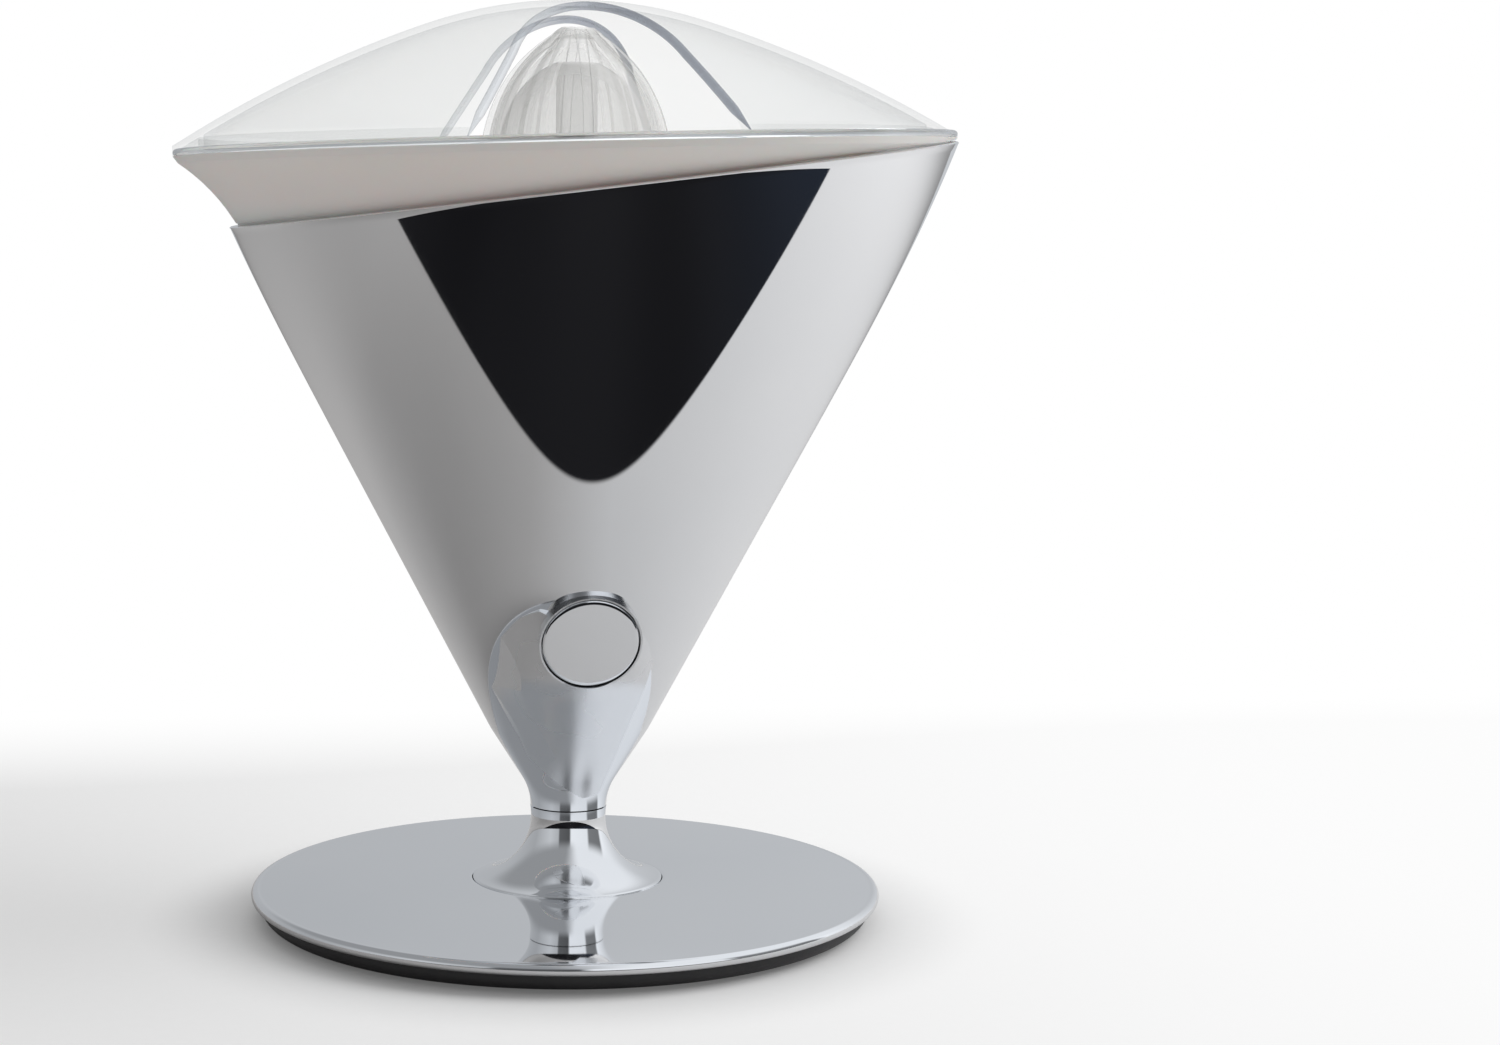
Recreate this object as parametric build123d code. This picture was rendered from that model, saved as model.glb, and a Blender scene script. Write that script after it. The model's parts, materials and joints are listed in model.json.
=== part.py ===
from build123d import *
import math
import os

# Citrus press juicer, millimetres. The origin is on the table under the drive axis,
# +Z is up, the push button faces -Y and the pouring lip of the jug points to -X.

# Base and pedestal
FOOT_PAD_HEIGHT = 1.4
FOOT_RING_RADIUS = 86.0
PLATE_RADIUS = 108.5
PLATE_EDGE_TOP = 11.0
PLATE_DOME = 2.2
PLATE_LIP = 3.6
FOOT_RADIUS = 32.8
STEM_RADIUS = 13.1
STEM_SEAM_Z = 38.6

# Mirror cone
CONE_SLOPE = 0.5285
CONE_APEX_Z = 14.2
CONE_STRAIGHT_FROM = 66.0
NECK_RADIUS = 16.2
NECK_Z = 48.6
CONE_BEND_Z = 165.0
CONE_STRAIGHT_TO = 198.0
CONE_TOP_RADIUS = 130.6
CONE_TOP_Z = 273.0
CONE_WALL = 2.2
CONE_CAVITY_Z = 64.0
CONE_RIM_Z = 252.0
CONE_RIM_TILT = 7.8

# Rim shared by jug and lid, lower towards the pouring lip
RIM_RADIUS = 131.3
RIM_OFFSET_X = -2.7
RIM_Z = 264.5
RIM_TILT = 2.6

# Lid
LID_TOP_Z = 313.6
LID_CROWN_RADIUS = 150.0
LID_CROWN_ANGLE = 18.5
LID_FLANK_RADIUS = 400.0
LID_REACH = 142.0
LID_WALL = 2.2
LID_LEAN = 2.0
NICHE_HALF_WIDTH = 46.0
NICHE_TURN = -2.4
NICHE_TOP_Z = 309.6
BELL_RADIUS = 40.0

# Reamer and strainer
REAMER_BASE_Z = 256.0
REAMER_TIP_Z = 306.0
REAMER_RADIUS = 33.0
REAMER_RIBS = 12
REAMER_RIB_WIDTH = 3.2
BRIM_RADIUS = 35.5
STRAINER_RADIUS = 103.5
STRAINER_INNER = 38.5
STRAINER_Z = 244.6
STRAINER_SLOTS = 28

# Jug
JUG_WALL = 2.2
JUG_FLOOR_Z = 180.0
JUG_GAP = 1.6
JUG_SHOULDER_Z = 222.0
FLARE_DROP = 24.0
FLARE_IN = 20.4
CHIMNEY_RADIUS = 15.0
CHIMNEY_TOP_Z = 241.0

# Drive train
MODULE = 1.0
PINION_TEETH = 12
WHEEL_TEETH = 36
GEAR_BACKLASH = 0.22
SHAFT_RADIUS = 4.0
SHAFT_FIT = 0.05
SHAFT_BOTTOM_Z = 138.0
SHAFT_TOP_Z = 266.0
MOTOR_RADIUS = 21.0
MOTOR_BOTTOM_Z = 78.0
MOTOR_TOP_Z = 118.0
PLATE_Z = 122.0
STAGE_ONE_Z = 126.5
STAGE_TWO_Z = 135.6
GEAR_WIDTH = 7.0
COVER_Z = 145.5
DECK_Z = 175.0
TOWER_TOP_Z = 236.0

# Push button on the front tongue
BUTTON_RADIUS = 16.0
BUTTON_GAP = 0.4
BUTTON_TILT = 20.5
BUTTON_Z = 102.8
BUTTON_REACH = 51.6
BEZEL_WIDTH = 0.6
TONGUE_LEAN = 14.0
TONGUE_PIVOT_Z = 45.0

AXLE_SPACING = MODULE * (PINION_TEETH + WHEEL_TEETH) / 2
RIM_PLANE = Plane((RIM_OFFSET_X, 0, RIM_Z)).rotated((0, -RIM_TILT, 0))
CHROME_RIM_PLANE = Plane((0, 0, CONE_RIM_Z)).rotated((0, -CONE_RIM_TILT, 0))
BUTTON_PLANE = Plane(
    origin=(0, -BUTTON_REACH, BUTTON_Z),
    x_dir=(1, 0, 0),
    z_dir=(0, -math.cos(math.radians(BUTTON_TILT)), -math.sin(math.radians(BUTTON_TILT))),
)


def turned(*edges):
    return revolve(Plane.XZ * make_face(edges), Axis.Z)


def ring(z_low, z_high, outer, inner=0.0):
    height = z_high - z_low
    body = Cylinder(outer, height)
    if inner > 0:
        body -= Cylinder(inner, 2 * height)
    return Pos(0, 0, (z_low + z_high) / 2) * body


def block(x_size, y_size, z_low, z_high, x=0.0, y=0.0):
    return Pos(x, y, (z_low + z_high) / 2) * Box(x_size, y_size, z_high - z_low)


def around(piece, count, radius, start=0.0):
    return [Rot(0, 0, start + 360 * i / count) * Pos(radius, 0, 0) * piece for i in range(count)]


def cone_radius(z):
    return CONE_SLOPE * (z - CONE_APEX_Z)


def cavity_radius(z):
    low = cone_radius(CONE_CAVITY_Z) - 1.6 * CONE_WALL
    high = cone_radius(CONE_STRAIGHT_TO) - 1.13 * CONE_WALL
    return low + (high - low) * (z - CONE_CAVITY_Z) / (CONE_STRAIGHT_TO - CONE_CAVITY_Z)


def cone_outer_solid(grow=0.0):
    low = (cone_radius(CONE_STRAIGHT_FROM) + grow, CONE_STRAIGHT_FROM)
    rise = (CONE_TOP_Z - CONE_BEND_Z) / 3
    bend = [(cone_radius(z) + grow, z) for z in (CONE_BEND_Z, CONE_BEND_Z + rise, CONE_BEND_Z + 2 * rise)]
    top = (CONE_TOP_RADIUS + grow, CONE_TOP_Z)
    stem = (STEM_RADIUS + grow, STEM_SEAM_Z)
    waist = (NECK_RADIUS + grow, NECK_Z)
    taper = Line(low, waist)
    neck = TangentArc(waist, stem, tangent=(waist[0] - low[0], waist[1] - low[1]))
    side = Line(low, bend[0])
    bulge = Bezier(*bend, top)
    close = Polyline(top, (0, CONE_TOP_Z), (0, STEM_SEAM_Z), stem)
    return turned(taper, neck, side, bulge, close)


def cone_cavity():
    low = (cavity_radius(CONE_CAVITY_Z), CONE_CAVITY_Z)
    high = (cavity_radius(CONE_STRAIGHT_TO), CONE_STRAIGHT_TO)
    top = (CONE_TOP_RADIUS - CONE_WALL * 1.13, CONE_TOP_Z + 0.5)
    side = Line(low, high)
    bulge = TangentArc(high, top, tangent=(CONE_SLOPE, 1))
    close = Polyline(top, (0, CONE_TOP_Z + 0.5), (0, CONE_CAVITY_Z), low)
    return turned(side, bulge, close)


def above(plane, size=600):
    return plane * Pos(0, 0, size / 2) * Box(size, size, size)


def below(plane, size=600):
    return plane * Pos(0, 0, -size / 2) * Box(size, size, size)


# Base, from the table up


def rubber_foot_ring():
    pad = ring(0, FOOT_PAD_HEIGHT + 0.8, FOOT_RING_RADIUS + 4, FOOT_RING_RADIUS - 4)
    return chamfer(pad.edges().group_by(Axis.Z)[0], 0.5)


def under_base():
    low = FOOT_PAD_HEIGHT
    high = PLATE_EDGE_TOP - PLATE_LIP
    outer = turned(
        Line((0, low), (96, low)),
        TangentArc((96, low), (103.5, high), tangent=(1, 0.15)),
        Polyline((103.5, high), (0, high), (0, low)),
    )
    pan = outer - ring(low + 2, high + 1, 94, 26)
    pan -= ring(low - 1, high + 1, 12)
    pan -= ring(low - 1, low + 0.8, FOOT_RING_RADIUS + 4.05, FOOT_RING_RADIUS - 4.05)
    pan -= around(ring(low - 1, high + 1, 2.1), 4, 70, 0)
    pan += around(ring(low, high, 5.4, 2.1), 4, 70, 0)
    pan -= around(ring(low - 1, low + 2.1, 3.6), 4, 70, 0)
    slot = Pos(0, 98, low + 3.2) * Box(9.4, 20, 4.2)
    return pan - slot


def base_plate():
    top = PLATE_EDGE_TOP
    low = top - PLATE_LIP
    crown = top + PLATE_DOME
    outer = turned(
        Line((0, low + 0.1), (PLATE_RADIUS - 3.4, low + 0.1)),
        ThreePointArc((PLATE_RADIUS - 3.4, low + 0.1), (PLATE_RADIUS, low + 1.9), (PLATE_RADIUS - 2.6, top)),
        ThreePointArc((PLATE_RADIUS - 2.6, top), (PLATE_RADIUS / 2, crown - 0.5), (0, crown)),
        Line((0, crown), (0, low + 0.1)),
    )
    plate = outer - ring(low - 1, low + 1.9, 101, 40)
    plate -= ring(crown - 3.2, crown + 2, FOOT_RADIUS + 0.15)
    plate -= ring(low - 1, crown, 9)
    plate += around(ring(low + 0.1, top + 0.4, 3.4), 4, 70, 0)
    return plate - around(ring(low - 1, top - 1.2, 1.7), 4, 70, 0)


def pedestal_foot():
    floor = PLATE_EDGE_TOP + PLATE_DOME - 3.1
    lip = PLATE_EDGE_TOP + PLATE_DOME + 0.2
    top = STEM_SEAM_Z - 0.4
    body = turned(
        Line((0, floor), (FOOT_RADIUS, floor)),
        Line((FOOT_RADIUS, floor), (FOOT_RADIUS, lip)),
        ThreePointArc((FOOT_RADIUS, lip), (18.0, 21.0), (STEM_RADIUS + 0.1, top)),
        Polyline((STEM_RADIUS + 0.1, top), (0, top), (0, floor)),
    )
    return body - ring(0, 45, 6.2)


def ballast_ring():
    return ring(FOOT_PAD_HEIGHT + 2.1, PLATE_EDGE_TOP - PLATE_LIP - 0.2, 62, 28)


def base_screws():
    low = FOOT_PAD_HEIGHT + 0.3
    head = ring(low, low + 1.6, 3.4)
    shank = ring(low + 1.5, PLATE_EDGE_TOP - 1.4, 1.65)
    return around(head + shank, 4, 70, 0)


def tie_rod():
    return ring(5.4, CONE_CAVITY_Z + 4.3, 5.0, 3.4)


def tie_nuts():
    hexagon = extrude(RegularPolygon(8.2, 6), 4) - Cylinder(5.0, 20)
    return [Pos(0, 0, 5.9) * hexagon, Pos(0, 0, CONE_CAVITY_Z + 0.1) * hexagon]


def cord_grommet():
    z = FOOT_PAD_HEIGHT + 3.2
    body = Pos(0, 97.4, z) * Box(9.2, 9.2, 4.0)
    flange = Pos(0, 92.1, z + 0.55) * Box(11, 1.6, 2.9)
    bore = Pos(0, 97, z) * Rot(90, 0, 0) * Cylinder(1.5, 30)
    return body + flange - bore


# Cone and front tongue


def button_hole(radius, near, far):
    return BUTTON_PLANE * Pos(0, 0, -(near + far) / 2) * Cylinder(radius, far - near)


def cone_shell():
    shell = cone_outer_solid() - cone_cavity() - above(CHROME_RIM_PLANE)
    shell -= ring(STEM_SEAM_Z - 5, CONE_CAVITY_Z + 5, 5.05)
    shell -= button_hole(BUTTON_RADIUS + BUTTON_GAP, -8, 5.6)
    return shell - button_hole(12.85, 0, 14)


def tongue_front():
    lean = math.radians(TONGUE_LEAN)
    axis = Plane(origin=(0, 0, TONGUE_PIVOT_Z), x_dir=(1, 0, 0), z_dir=(0, -math.sin(lean), math.cos(lean)))
    start = (16.0, 7.7)
    bend = (35.3, 51.0)
    edge = (37.3, 92.0)
    stem = (12.6, -8.0)
    flare = TangentArc(start, stem, tangent=(start[0] - bend[0], start[1] - bend[1]))
    face = FilletPolyline(start, bend, edge, radius=30)
    close = Polyline(edge, (0, edge[1]), (0, stem[1]), stem)
    return axis * turned(flare, face, close)


def tongue_outline():
    right_low = (8.4, STEM_SEAM_Z + 1.6)
    right = (21.8, 93)
    right_top = (15.5, 107)
    left_top = (-17.0, 113.6)
    corner = (-29.5, 104.8)
    left_low = (-21.5, 65)
    outline = make_face([
        Line(right_low, right),
        ThreePointArc(right, (20.6, 100.5), right_top),
        Polyline(right_top, (-12.5, 111.5), left_top),
        ThreePointArc(left_top, (-24.2, 109.9), corner),
        Polyline(corner, (-60, 104.8), (-60, 90), left_low),
        ThreePointArc(left_low, (-7.0, 50.2), right_low),
    ])
    return extrude(Plane.XZ * outline, 70)


def tongue_side(z, crease, back):
    ahead = (2 * crease[0] - back[0], 2 * crease[1] - back[1])
    return Pos(0, 0, z) * make_face(Polyline(ahead, back, (60, back[1]), (60, ahead[1]), close=True))


def front_tongue():
    facet = loft([
        tongue_side(38, (-4.0, -14.0), (-34.0, 12.0)),
        tongue_side(60, (-13.2, -20.0), (-44.0, 6.0)),
        tongue_side(85, (-21.6, -36.5), (-41.6, -2.0)),
        tongue_side(125, (-36.0, -39.0), (-56.0, -5.0)),
    ], ruled=True)
    tongue = tongue_front() & tongue_outline() & facet
    bezel = button_hole(BUTTON_RADIUS + BUTTON_GAP + BEZEL_WIDTH, 0, 12)
    tongue = tongue + bezel - cone_outer_solid()
    tongue -= button_hole(BUTTON_RADIUS + BUTTON_GAP, -8, 5.6)
    tongue -= button_hole(13, 0, 14)
    solids = sorted(tongue.solids(), key=lambda s: s.volume)
    return solids[-1]


# Jug, strainer, reamer and lid


def flare_edges(inset):
    foot = (RIM_RADIUS - FLARE_IN - inset, -FLARE_DROP)
    lip_low = (RIM_RADIUS - 1.6 - inset, -2.2 - 0.5 * inset)
    lip_top = (RIM_RADIUS - inset, 0)
    curve = ThreePointArc(foot, (RIM_RADIUS - 12.8 - inset, -12.6 - 0.3 * inset), lip_low)
    close = Polyline(lip_low, lip_top, (0, 0), (0, -FLARE_DROP), foot)
    return curve, close


def jug_form(inset, floor):
    shoulder = cone_radius(JUG_SHOULDER_Z) - CONE_WALL * 1.13 - JUG_GAP - inset
    slope = 0.50
    low = shoulder - slope * (JUG_SHOULDER_Z - floor)
    bowl = turned(Polyline(
        (0, floor), (low, floor), (shoulder, JUG_SHOULDER_Z), (0, JUG_SHOULDER_Z), (0, floor),
    ))
    flare = RIM_PLANE * revolve(Plane.XZ * make_face(flare_edges(inset)), Axis.Z)
    rim_foot = RIM_PLANE * Pos(0, 0, -FLARE_DROP) * Circle(RIM_RADIUS - FLARE_IN - inset)
    waist = Pos(0, 0, JUG_SHOULDER_Z) * Circle(shoulder)
    return bowl + loft([waist, rim_foot], ruled=True) + flare


def juice_jug():
    jug = jug_form(0, JUG_FLOOR_Z) - jug_form(JUG_WALL, JUG_FLOOR_Z + JUG_WALL)
    jug -= above(RIM_PLANE)
    ledge = ring(STRAINER_Z - 3.2, STRAINER_Z - 0.2, 125, STRAINER_RADIUS - 5)
    jug += ledge & jug_form(JUG_WALL / 2, JUG_FLOOR_Z)
    chimney = turned(Polyline(
        (0, JUG_FLOOR_Z), (CHIMNEY_RADIUS + 3, JUG_FLOOR_Z), (CHIMNEY_RADIUS, CHIMNEY_TOP_Z),
        (0, CHIMNEY_TOP_Z), (0, JUG_FLOOR_Z),
    ))
    bore = turned(Polyline(
        (0, JUG_FLOOR_Z - 1), (CHIMNEY_RADIUS + 1, JUG_FLOOR_Z - 1),
        (CHIMNEY_RADIUS - 2, CHIMNEY_TOP_Z + 1), (0, CHIMNEY_TOP_Z + 1), (0, JUG_FLOOR_Z - 1),
    ))
    jug = jug + chimney - bore
    return jug - (cone_outer_solid(0.6) - cone_cavity_grown(-0.6) - above(CHROME_RIM_PLANE.offset(0.6)))


def cone_cavity_grown(grow):
    high = (cavity_radius(CONE_STRAIGHT_TO) + grow, CONE_STRAIGHT_TO)
    top = (CONE_TOP_RADIUS - CONE_WALL * 1.13 + grow, CONE_TOP_Z + 0.5)
    bulge = TangentArc(high, top, tangent=(CONE_SLOPE, 1))
    low = (cavity_radius(DECK_Z) + grow, DECK_Z)
    return turned(Line(low, high), bulge, Polyline(top, (0, top[1]), (0, DECK_Z), low))


def strainer():
    low = STRAINER_Z
    outer = STRAINER_RADIUS
    inner = STRAINER_INNER
    dish = turned(Polyline(
        (outer, low), (outer, low + 2), (outer - 8, low + 2), (inner + 8, low - 6), (inner + 2, low - 6),
        (inner + 2, low + 4), (inner, low + 4), (inner, low - 8), (inner + 8.6, low - 8),
        (outer - 7.4, low), (outer, low),
    ))
    slot = Pos(70, 0, low - 3) * Box(30, 2.2, 14)
    return dish - [Rot(0, 0, 360 * i / STRAINER_SLOTS) * slot for i in range(STRAINER_SLOTS)]


def reamer_form(inset):
    low = REAMER_BASE_Z
    tip = REAMER_TIP_Z - inset
    foot = (REAMER_RADIUS - inset, low)
    crown = (9.0, tip - 4)
    return turned(
        Line((0, low), foot),
        Bezier(foot, (REAMER_RADIUS - inset - 1, low + 31), crown),
        TangentArc((0, tip), crown, tangent=(1, 0)),
        Line((0, tip), (0, low)),
    )


def reamer():
    low = REAMER_BASE_Z
    dome = reamer_form(3.4)
    blade = Pos(5.5 + REAMER_RADIUS / 2, 0, low + 30) * Box(REAMER_RADIUS, REAMER_RIB_WIDTH, 60)
    for i in range(REAMER_RIBS):
        dome += reamer_form(0) & (Rot(0, 0, 360 * i / REAMER_RIBS) * blade)
    hollow = turned(
        Line((SHAFT_RADIUS + 3, low + 2), (REAMER_RADIUS - 6, low + 2)),
        Bezier((REAMER_RADIUS - 6, low + 2), (REAMER_RADIUS - 7, low + 29), (SHAFT_RADIUS + 3, 293.0)),
        Line((SHAFT_RADIUS + 3, 293.0), (SHAFT_RADIUS + 3, low + 2)),
    )
    brim = ring(low, low + 2, BRIM_RADIUS)
    hub = ring(low - 12, low + 1, SHAFT_RADIUS + 3)
    bore = ring(low - 14, SHAFT_TOP_Z + 0.2, SHAFT_RADIUS + SHAFT_FIT)
    return dome + brim + hub - hollow - bore


def dome_form(inset):
    angle = math.radians(LID_CROWN_ANGLE)
    crown = LID_CROWN_RADIUS - inset
    flank = LID_FLANK_RADIUS - inset
    top = LID_TOP_Z - inset
    knee = (crown * math.sin(angle), top - crown * (1 - math.cos(angle)))
    end_sine = math.sin(angle) + (LID_REACH - inset - knee[0]) / flank
    end_z = knee[1] - flank * (math.cos(angle) - math.sqrt(1 - end_sine ** 2))
    end = (LID_REACH - inset, end_z)
    crown_arc = TangentArc((0, top), knee, tangent=(1, 0))
    flank_arc = TangentArc(knee, end, tangent=(math.cos(angle), -math.sin(angle)))
    low = RIM_Z - 20
    dome = turned(crown_arc, flank_arc, Polyline(end, (end[0], low), (0, low), (0, top)))
    return Pos(RIM_OFFSET_X, 0, RIM_Z) * Rot(0, -LID_LEAN, 0) * Pos(0, 0, -RIM_Z) * dome


def niche_form(inset):
    low = RIM_Z - 25
    half = NICHE_HALF_WIDTH + inset + 12
    top = NICHE_TOP_Z + inset
    shoulder = (0.58 * NICHE_HALF_WIDTH + inset, RIM_Z + 0.62 * (NICHE_TOP_Z - RIM_Z))
    arch = make_face([
        Line((-half, low), (half, low)),
        Line((half, low), shoulder),
        ThreePointArc(shoulder, (0, top), (-shoulder[0], shoulder[1])),
        Line((-shoulder[0], shoulder[1]), (-half, low)),
    ])
    tunnel = extrude(Plane.XZ * arch, 160, both=True)
    bell_top = NICHE_TOP_Z + 1.0 - inset
    bell = turned(
        Line((0, low - 1), (BELL_RADIUS - inset, low - 1)),
        Line((BELL_RADIUS - inset, low - 1), (BELL_RADIUS - inset, RIM_Z)),
        ThreePointArc((BELL_RADIUS - inset, RIM_Z), (33.0 - inset, 291.0), (10.0, bell_top)),
        Polyline((10.0, bell_top), (0, bell_top), (0, low - 1)),
    )
    return Rot(0, 0, NICHE_TURN) * (tunnel - bell)


def lid():
    niche = niche_form(0) & above(RIM_PLANE.offset(LID_WALL))
    hollow_radius = RIM_RADIUS - 1.5 * LID_WALL
    outside = (dome_form(0) & (RIM_PLANE * ring(-50, 80, RIM_RADIUS))) - niche
    inside = (dome_form(LID_WALL) & (RIM_PLANE * ring(-50, 80, hollow_radius))) - niche_form(LID_WALL)
    shell = outside - inside - below(RIM_PLANE)
    lip = RIM_PLANE * ring(-3.2, 10, 122.8, 121.0)
    lip = (lip & dome_form(0.6)) - niche_form(-1.0)
    return shell + lip


# Drive train, from the motor up


def gear_profile(teeth, phase):
    pitch = MODULE * teeth / 2
    base = pitch * math.cos(math.radians(20))
    tip = pitch + MODULE
    root = pitch - 1.25 * MODULE
    half = math.pi / (2 * teeth) - GEAR_BACKLASH / (2 * pitch)

    def involute(radius):
        angle = math.acos(min(1.0, base / radius))
        return math.tan(angle) - angle

    flank = [max(base, root + 0.1), pitch, tip]
    points = []
    for tooth in range(teeth):
        middle = math.radians(phase) + 2 * math.pi * tooth / teeth
        spread = [half + involute(pitch) - involute(r) for r in flank]
        left = [(root, -math.pi / teeth * 0.72)] + [(r, -a) for r, a in zip(flank, spread)]
        right = [(r, -a) for r, a in reversed(left)]
        points += [(r * math.cos(middle + a), r * math.sin(middle + a)) for r, a in left + right]
    return make_face(Polyline(*points, close=True))


def gear(teeth, phase, z_low, width):
    return Pos(0, 0, z_low) * extrude(gear_profile(teeth, phase), width)


def coil_spring(radius, wire, turns, length):
    quarter = math.pi / 2
    rise = length / turns / 4

    def at(step):
        return (radius * math.cos(step * quarter), radius * math.sin(step * quarter), rise * step)

    path = Wire([ThreePointArc(at(i), at(i + 0.5), at(i + 1)) for i in range(turns * 4)])
    section = Plane(origin=at(0), z_dir=(0, radius * quarter, rise)) * Circle(wire / 2)
    print("spring gap between turns", round(length / turns - wire, 2), "mm")
    return sweep(section, path=path)


def motor_can():
    low = MOTOR_BOTTOM_Z
    high = MOTOR_TOP_Z
    can = ring(low, high, MOTOR_RADIUS) - ring(low + 2, high + 1, MOTOR_RADIUS - 2)
    can -= ring(low - 1, low + 3, 4.2)
    window = Pos(MOTOR_RADIUS, 0, (low + high) / 2 + 8) * Box(12, 10, 9)
    return can - [Rot(0, 0, 45 + 90 * i) * window for i in range(4)]


def motor_end_cap():
    cap = ring(MOTOR_TOP_Z + 0.05, MOTOR_TOP_Z + 3.5, MOTOR_RADIUS)
    boss = ring(MOTOR_TOP_Z + 3.4, PLATE_Z + 1.5, 6)
    return cap + boss - ring(MOTOR_TOP_Z - 1, PLATE_Z + 3, 2.05)


def motor_bearing():
    return ring(MOTOR_BOTTOM_Z - 1.4, MOTOR_BOTTOM_Z + 4, 4.15, 2.05)


def motor_rotor():
    shaft = ring(MOTOR_BOTTOM_Z - 1, STAGE_ONE_Z + GEAR_WIDTH + 0.4, 2.0)
    core = ring(MOTOR_BOTTOM_Z + 9, MOTOR_TOP_Z - 8, MOTOR_RADIUS - 6)
    core -= around(ring(MOTOR_BOTTOM_Z, MOTOR_TOP_Z, 1.6), 8, MOTOR_RADIUS - 6.4)
    commutator = ring(MOTOR_TOP_Z - 8, MOTOR_TOP_Z - 2, 5)
    pinion = gear(PINION_TEETH, 0, STAGE_ONE_Z, GEAR_WIDTH)
    return shaft + core + commutator + pinion


def compound_gear():
    wheel = gear(WHEEL_TEETH, 180 / WHEEL_TEETH, STAGE_ONE_Z + 0.3, GEAR_WIDTH - 0.8)
    small = gear(PINION_TEETH, 180 / PINION_TEETH, STAGE_ONE_Z + GEAR_WIDTH - 0.6, GEAR_WIDTH + 2.4)
    return Pos(AXLE_SPACING, 0, 0) * (wheel + small - ring(PLATE_Z, COVER_Z, 2.05))


def compound_axle():
    return Pos(AXLE_SPACING, 0, 0) * ring(PLATE_Z - 0.5, COVER_Z + 2.4, 2.0)


def output_gear():
    wheel = gear(WHEEL_TEETH, 0, STAGE_TWO_Z, GEAR_WIDTH)
    hub = ring(STAGE_TWO_Z, COVER_Z + 6, 8)
    rim_web = ring(STAGE_TWO_Z + 2.4, STAGE_TWO_Z + GEAR_WIDTH + 1, 14.5, 9.5)
    return wheel + hub - rim_web - ring(PLATE_Z, COVER_Z + 20, SHAFT_RADIUS + SHAFT_FIT)


def gear_plate():
    plate = ring(PLATE_Z, PLATE_Z + 3, cavity_radius(PLATE_Z) - 0.3) - ring(PLATE_Z - 1, PLATE_Z + 5, 6.05)
    plate -= Pos(AXLE_SPACING, 0, 0) * ring(PLATE_Z - 1, PLATE_Z + 5, 2.0)
    plate -= around(ring(PLATE_Z - 1, PLATE_Z + 5, 1.7), 2, 13, 90)
    return plate - around(ring(PLATE_Z - 1, PLATE_Z + 5, 2.0), 3, 38, 60)


def motor_screws():
    head = ring(PLATE_Z + 3.05, PLATE_Z + 4.4, 2.8)
    return around(head + ring(MOTOR_TOP_Z + 3.6, PLATE_Z + 3.1, 1.65), 2, 13, 90)


def gear_posts():
    post = extrude(RegularPolygon(4.2, 6), COVER_Z - PLATE_Z - 3)
    stud = ring(-3.2, COVER_Z - PLATE_Z + 0.2, 1.95)
    return around(Pos(0, 0, PLATE_Z + 3) * (post + stud), 3, 38, 60)


def gearbox_cover():
    cover = ring(COVER_Z, COVER_Z + 3, cavity_radius(COVER_Z) - 0.3) - ring(COVER_Z - 1, COVER_Z + 5, 9.05)
    cover -= Pos(AXLE_SPACING, 0, 0) * ring(COVER_Z - 1, COVER_Z + 5, 2.0)
    cover -= around(ring(COVER_Z - 1, COVER_Z + 5, 1.7), 3, 51, 0)
    return cover - around(ring(COVER_Z - 1, COVER_Z + 5, 2.0), 3, 38, 60)


def hub_bush():
    return ring(COVER_Z, COVER_Z + 3.4, 9.0, 8.05)


def press_return_spring():
    return Pos(0, 0, COVER_Z + 6.8) * coil_spring(6.0, 1.2, 5, 15.2)


def drive_shaft():
    shaft = ring(SHAFT_BOTTOM_Z, SHAFT_TOP_Z, SHAFT_RADIUS)
    flat = Pos(0, 0, SHAFT_TOP_Z - 5) * (Box(20, 20, 10.2) - Box(5.6, 20, 20))
    collar = ring(DECK_Z - 6.6, DECK_Z - 4.4, 13)
    return shaft - flat + collar


def start_switch():
    body = block(8, 18, COVER_Z + 3.05, COVER_Z + 14, x=-14)
    plunger = block(3, 4, COVER_Z + 13.5, COVER_Z + 17.5, x=-11.5)
    return body + plunger


def jug_seat():
    edge = cavity_radius(DECK_Z) - 0.3
    plate = ring(DECK_Z, DECK_Z + 3, edge)
    skirt = ring(COVER_Z + 3.05, DECK_Z + 1, 53.5, 48.5)
    skirt -= around(ring(COVER_Z, COVER_Z + 10, 1.65), 3, 51, 0)
    tower = turned(Polyline(
        (0, DECK_Z), (CHIMNEY_RADIUS - 0.5, DECK_Z), (CHIMNEY_RADIUS - 3, TOWER_TOP_Z),
        (0, TOWER_TOP_Z), (0, DECK_Z),
    ))
    bore = ring(DECK_Z - 1, TOWER_TOP_Z + 1, 8)
    return plate + skirt + tower - bore


def shaft_bush(z_low, z_high):
    return ring(z_low, z_high, 7.95, SHAFT_RADIUS + SHAFT_FIT)


def shaft_seal():
    return ring(TOWER_TOP_Z + 0.1, TOWER_TOP_Z + 2.1, 9.5, SHAFT_RADIUS + 0.3)


def deck_screws():
    head = ring(COVER_Z - 1.7, COVER_Z - 0.1, 3)
    return around(head + ring(COVER_Z - 0.2, COVER_Z + 9.5, 1.6), 3, 51, 0)


# Push button and its switch


def power_button():
    disc = button_hole(BUTTON_RADIUS, 0, 3.2)
    disc = fillet(disc.edges().filter_by(GeomType.CIRCLE), 0.6)
    return disc + button_hole(3.9, 3, 15.5)


def button_guide():
    cup = button_hole(12.8, 5.8, 13.5) - button_hole(11.4, 0, 12)
    return cup - button_hole(3.9 + SHAFT_FIT, 0, 30)


def button_spring():
    return BUTTON_PLANE * Pos(0, 0, -11.5) * coil_spring(6.4, 0.9, 4, 7.6)


def button_switch():
    return BUTTON_PLANE * Pos(0, 0, -21.0) * Box(16, 9, 7)


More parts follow.
